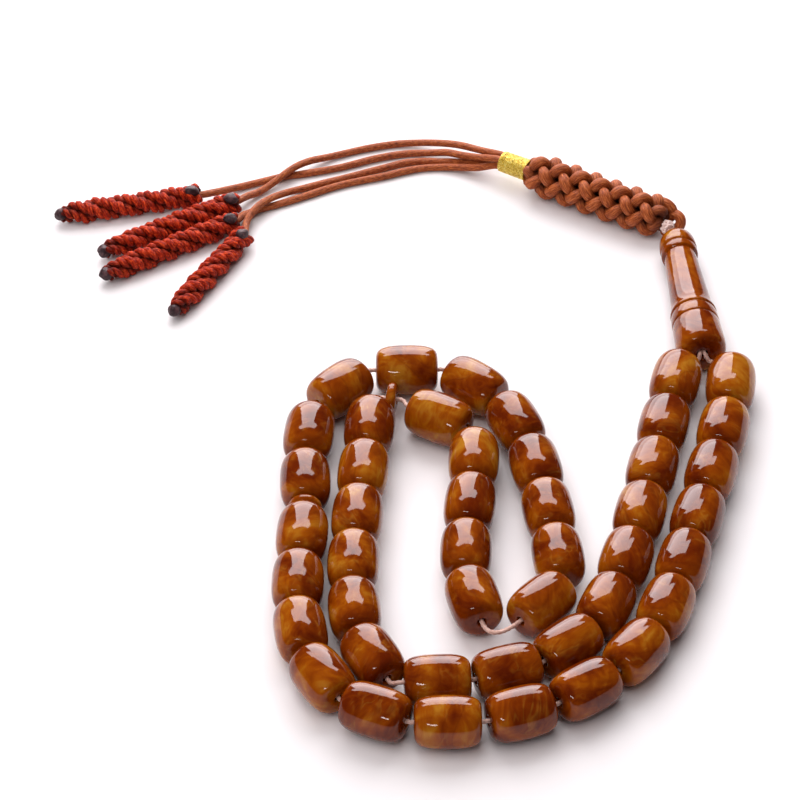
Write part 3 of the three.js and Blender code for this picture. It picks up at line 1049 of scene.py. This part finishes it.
# ---- Knotted sleeves ----
def make_sleeve(number, material, melted):
    """Hitches tied one after another round a core: they wind round it as bars of paired cord."""
    base = np.array(joint(f"bend_sleeve_{number}")["pos_m"]) / MM
    tip = (np.array(SLEEVE_TIPS[number - 1]) + CORD_SHIFT) / MM
    axis = unit(tip - base)
    length = float(np.linalg.norm(tip - base))
    side, upright = basis(axis)
    shape = Shape()
    phase = RNG.uniform(0, 2 * math.pi)
    lean = math.atan2(2 * math.pi * SLEEVE_REACH, SLEEVE_LEAD)
    for bar in range(SLEEVE_BARS):
        for ply in range(2):
            # The sleeve narrows at both ends, over a longer way at its tip.
            z = np.linspace(0.5, length - 0.9, PLY_SAMPLES)
            taper = np.clip(np.minimum((z + 2.4) / 3.2, (length - z + 1.6) / 9.0), 0.0, 1.0)
            taper = 0.45 + 0.55 * np.sin(taper * math.pi / 2)
            loose = 1.0 + 0.05 * np.sin(z * 0.9 + phase + bar * 2.1) + 0.03 * np.sin(z * 2.7 + bar)
            turn = phase + 2 * math.pi * bar / SLEEVE_BARS - 2 * math.pi * z / SLEEVE_LEAD
            lay = 2 * math.pi * z / PLY_LEAD + math.pi * ply + bar * 1.3 + 0.25 * np.sin(z * 1.9 + phase)
            out = np.cos(turn)[:, None] * side + np.sin(turn)[:, None] * upright
            around = np.sin(turn)[:, None] * side - np.cos(turn)[:, None] * upright
            beside = around * math.cos(lean) - axis * math.sin(lean)
            reach = SLEEVE_REACH * taper * loose
            path = base + axis * z[:, None] + out * reach[:, None]
            twist = out * np.cos(lay)[:, None] + beside * np.sin(lay)[:, None]
            path = path + twist * (PLY_OFFSET * taper)[:, None]
            path = resample(path, SLEEVE_STEP)
            thick = np.interp(np.linspace(0, 1, len(path)), np.linspace(0, 1, len(z)), PLY_RADIUS * taper)

            def ripple(a, along, bar=bar, ply=ply):
                twist = 0.94 + 0.06 * np.cos(4 * a - along * 3.4 + ply)
                fuzz = 0.03 * np.sin(9 * a + along * 7.0 + bar) + 0.03 * np.sin(along * 11.0 + 2 * ply)
                return twist + fuzz

            add_tube(shape, path, thick, PLY_SIDES, ripple)
    core = [base + axis * 0.6, base + axis * (length / 2), base + axis * (length - 0.8)]
    add_tube(shape, smooth_path(core, CORE_STEP), SLEEVE_CORE, CORE_SIDES)
    # Painted shade: the sleeve's cords darken towards its core.
    shape.paint_depth_shade(base, axis, SLEEVE_DEEP, SLEEVE_OUTER)
    shape.rest()
    piece = make_piece(f"knotted_sleeve_{number}", shape, material)
    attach(piece, f"sleeve_{number}")
    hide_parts(f"tassel_sleeve_{number}")
    ends = Shape()
    add_blob(ends, tip - axis * 0.5, axis, TIP_RADII, number)
    seal_place = base + axis * 2.0 - side * 0.7 + UP * 2.1
    add_blob(ends, seal_place, unit(axis + UP * 0.4), SEAL_RADII, number + 7)
    ends.rest()
    seal = make_piece(f"melted_ends_{number}", ends, melted)
    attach(seal, f"sleeve_{number}")
    return [piece, seal]


def add_blob(shape, centre, axis, radii, seed):
    """A lumpy ellipsoid: radii along the axis, sideways and upright."""
    side, upright = basis(axis)
    points, place = [], []
    for i in range(1, BLOB_ROWS):
        polar = math.pi * i / BLOB_ROWS
        for j in range(BLOB_SIDES):
            around = 2 * math.pi * j / BLOB_SIDES
            width = math.sin(polar)
            n = np.array([math.cos(polar), width * math.cos(around), width * math.sin(around)])
            lump = 1 + 0.07 * math.sin(3 * around + seed) * n[0] + 0.06 * math.sin(5 * n[1] + 2 * seed)
            local = n * np.array(radii) * lump
            points.append(centre + axis * local[0] + side * local[1] + upright * local[2])
            place.append(local + seed * 7.0)
    low = len(points)
    points.append(centre + axis * radii[0])
    points.append(centre - axis * radii[0])
    place += [np.array([radii[0], 0, 0]) + seed * 7.0, np.array([-radii[0], 0, 0]) + seed * 7.0]
    faces = ring_faces(BLOB_ROWS - 1, BLOB_SIDES)
    last = (BLOB_ROWS - 2) * BLOB_SIDES
    faces += [((j + 1) % BLOB_SIDES, j, low) for j in range(BLOB_SIDES)]
    faces += [(last + j, last + (j + 1) % BLOB_SIDES, low + 1) for j in range(BLOB_SIDES)]
    faces = [tuple(reversed(f)) for f in faces]
    shape.add(points, faces, place)


def make_imam(material):
    """The imam. Gives back its base and its tip."""
    spin = joint("spin_imam")
    base = np.array(spin["pos_m"]) / MM
    axis = unit(spin["axis"])
    shape = Shape()
    shift = RNG.uniform(-MATERIAL_SPREAD, MATERIAL_SPREAD, 3)
    add_turned(shape, IMAM_OUTLINE, IMAM_SIDES, base, axis, shift, random_lay(), IMAM_TINT)
    piece = make_piece("turned_imam", shape, material)
    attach(piece, "imam")
    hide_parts("imam")
    return base, base + axis * IMAM_LENGTH


# ---- Stage ----
def area_light(name, place, target, size, radiance, color):
    """A rectangular light that shines at a target with a given radiance."""
    data = bpy.data.lights.new(name, "AREA")
    data.shape = "RECTANGLE"
    data.size, data.size_y = size
    data.energy = math.pi * size[0] * size[1] * radiance
    data.color = color
    light = bpy.data.objects.new(name, data)
    bpy.context.scene.collection.objects.link(light)
    light.location = place
    light.rotation_euler = (Vector(target) - Vector(place)).to_track_quat("-Z", "Y").to_euler()
    light.visible_camera = False
    return light


def toward(azimuth, elevation, distance):
    """A place seen from the origin: azimuth from +Y towards +X, in degrees."""
    a, e = math.radians(azimuth), math.radians(elevation)
    return Vector((math.sin(a) * math.cos(e), math.cos(a) * math.cos(e), math.sin(e))) * distance


def make_stage():
    """The table, the lights and the dim room round them, in metres."""
    mesh = bpy.data.meshes.new("floor")
    corners = [(x * FLOOR_HALF, y * FLOOR_HALF, 0.0) for x, y in ((-1, -1), (1, -1), (1, 1), (-1, 1))]
    mesh.from_pydata(corners, [], [(0, 1, 2, 3)])
    floor = bpy.data.objects.new("floor", mesh)
    bpy.context.scene.collection.objects.link(floor)
    mesh.materials.append(floor_look())

    for name, level, width, height, radiance in PANELS:
        place, target = (PANEL_X, PANEL_Y, level), (PANEL_X, 0.0, level)
        panel = area_light(name, place, target, (width, height), radiance, WHITE)
        panel.visible_diffuse = False
    for i, azimuth in enumerate(SPARKLE_AZIMUTHS):
        place = toward(azimuth, SPARKLE_ELEVATION + i, SPARKLE_DISTANCE)
        sparkle = area_light(f"sparkle_{i}", place, ORIGIN, SPARKLE_SIZE, SPARKLE_RADIANCE, WHITE)
        sparkle.visible_diffuse = False
    key = area_light("key", KEY_PLACE, ORIGIN, KEY_SIZE, KEY_RADIANCE, WHITE)
    key.visible_glossy = False
    fill = area_light("fill", FILL_PLACE, ORIGIN, FILL_SIZE, FILL_RADIANCE, WARM)
    fill.visible_glossy = False

    world = bpy.data.worlds.new("studio")
    world.use_nodes = True
    background = world.node_tree.nodes["Background"]
    background.inputs["Color"].default_value = ROOM_COLOR
    background.inputs["Strength"].default_value = ROOM_STRENGTH
    scene = bpy.context.scene
    scene.world = world
    scene.view_settings.view_transform = "Standard"
    scene.view_settings.look = "None"


# ---- Making: the camera and the cords come first ----
make_camera()
brown = satin_cord()
cords, whipping_exit, tail_direction = make_cords(brown)

amber = resin()
rust = rust_cord()
melted = melted_cord()
pale = thread("knot_thread", KNOT_LIGHT, KNOT_DARK)
rose = thread("string_thread", STRING_LIGHT, STRING_DARK)
gold = gold_thread()

rows = threaded()
make_threaded(rows, amber)
imam_base, imam_tip = make_imam(amber)
knot_centre = middle("string_knot")
make_string(rows, imam_base, imam_tip, knot_centre, rose)
make_knot(knot_centre, unit(imam_tip - knot_centre), pale)

braid_end = whipping_exit - tail_direction * STEM_LENGTH
make_braid(braid_end - tail_direction * BRAID_LENGTH, tail_direction, knot_centre, brown)
make_whipping(braid_end + tail_direction * WHIPPING_GAP, tail_direction, gold)

for number, (piece, path, start, length) in enumerate(cords, start=1):
    carried = make_sleeve(number, rust, melted)
    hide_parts(f"tassel_cord_{number}")
    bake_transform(piece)

make_stage()
